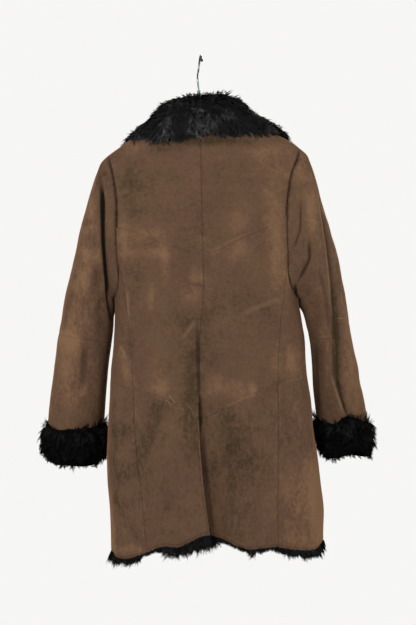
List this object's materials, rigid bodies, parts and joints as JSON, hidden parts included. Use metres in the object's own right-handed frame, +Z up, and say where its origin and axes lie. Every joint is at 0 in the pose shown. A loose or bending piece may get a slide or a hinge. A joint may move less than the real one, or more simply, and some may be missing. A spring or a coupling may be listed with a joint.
{
  "type": "shearling coat on a hanger",
  "caption": "Knee-length shearling coat hung on a hanger, suede outside with a wide fur collar, turned-back fur cuffs and wool showing under the hem.",
  "frame": {"origin": "inside top of the hanger's hook, where it rests on a rail", "axes": "+Z up, +X to the wearer's right, +Y to the wearer's front; the coat's back faces -Y"},
  "size_m": [0.7189, 0.2277, 1.0661],
  "materials": {
    "Suede": "matte brown suede with a short nap",
    "Fur": "black curly wool",
    "HangerPlastic": "satin black",
    "Steel": "polished"
  },
  "bodies": {
    "root": {"back_yoke_left": "Suede", "back_middle_left": "Suede", "back_skirt_left": "Suede", "side_back_upper_left": "Suede", "side_back_lower_left": "Suede", "front_left": "Suede", "sleeve_back_upper_left": "Suede", "sleeve_back_lower_left": "Suede", "sleeve_front_upper_left": "Suede", "sleeve_front_lower_left": "Suede", "cuff_fur_left": "Fur", "collar_fur_left": "Fur", "hem_wool_back_left": "Fur", "hem_wool_side_left": "Fur", "hem_wool_front_left": "Fur", "back_yoke_right": "Suede", "back_middle_right": "Suede", "back_skirt_right": "Suede", "side_back_upper_right": "Suede", "side_back_lower_right": "Suede", "front_right": "Suede", "sleeve_back_upper_right": "Suede", "sleeve_back_lower_right": "Suede", "sleeve_front_upper_right": "Suede", "sleeve_front_lower_right": "Suede", "cuff_fur_right": "Fur", "collar_fur_right": "Fur", "hem_wool_back_right": "Fur", "hem_wool_side_right": "Fur", "hem_wool_front_right": "Fur", "hanger_arms": "HangerPlastic", "hanger_hook_ball": "HangerPlastic", "hanger_hook": "Steel", "hanger_ferrule": "Steel"}
  },
  "joints": []
}
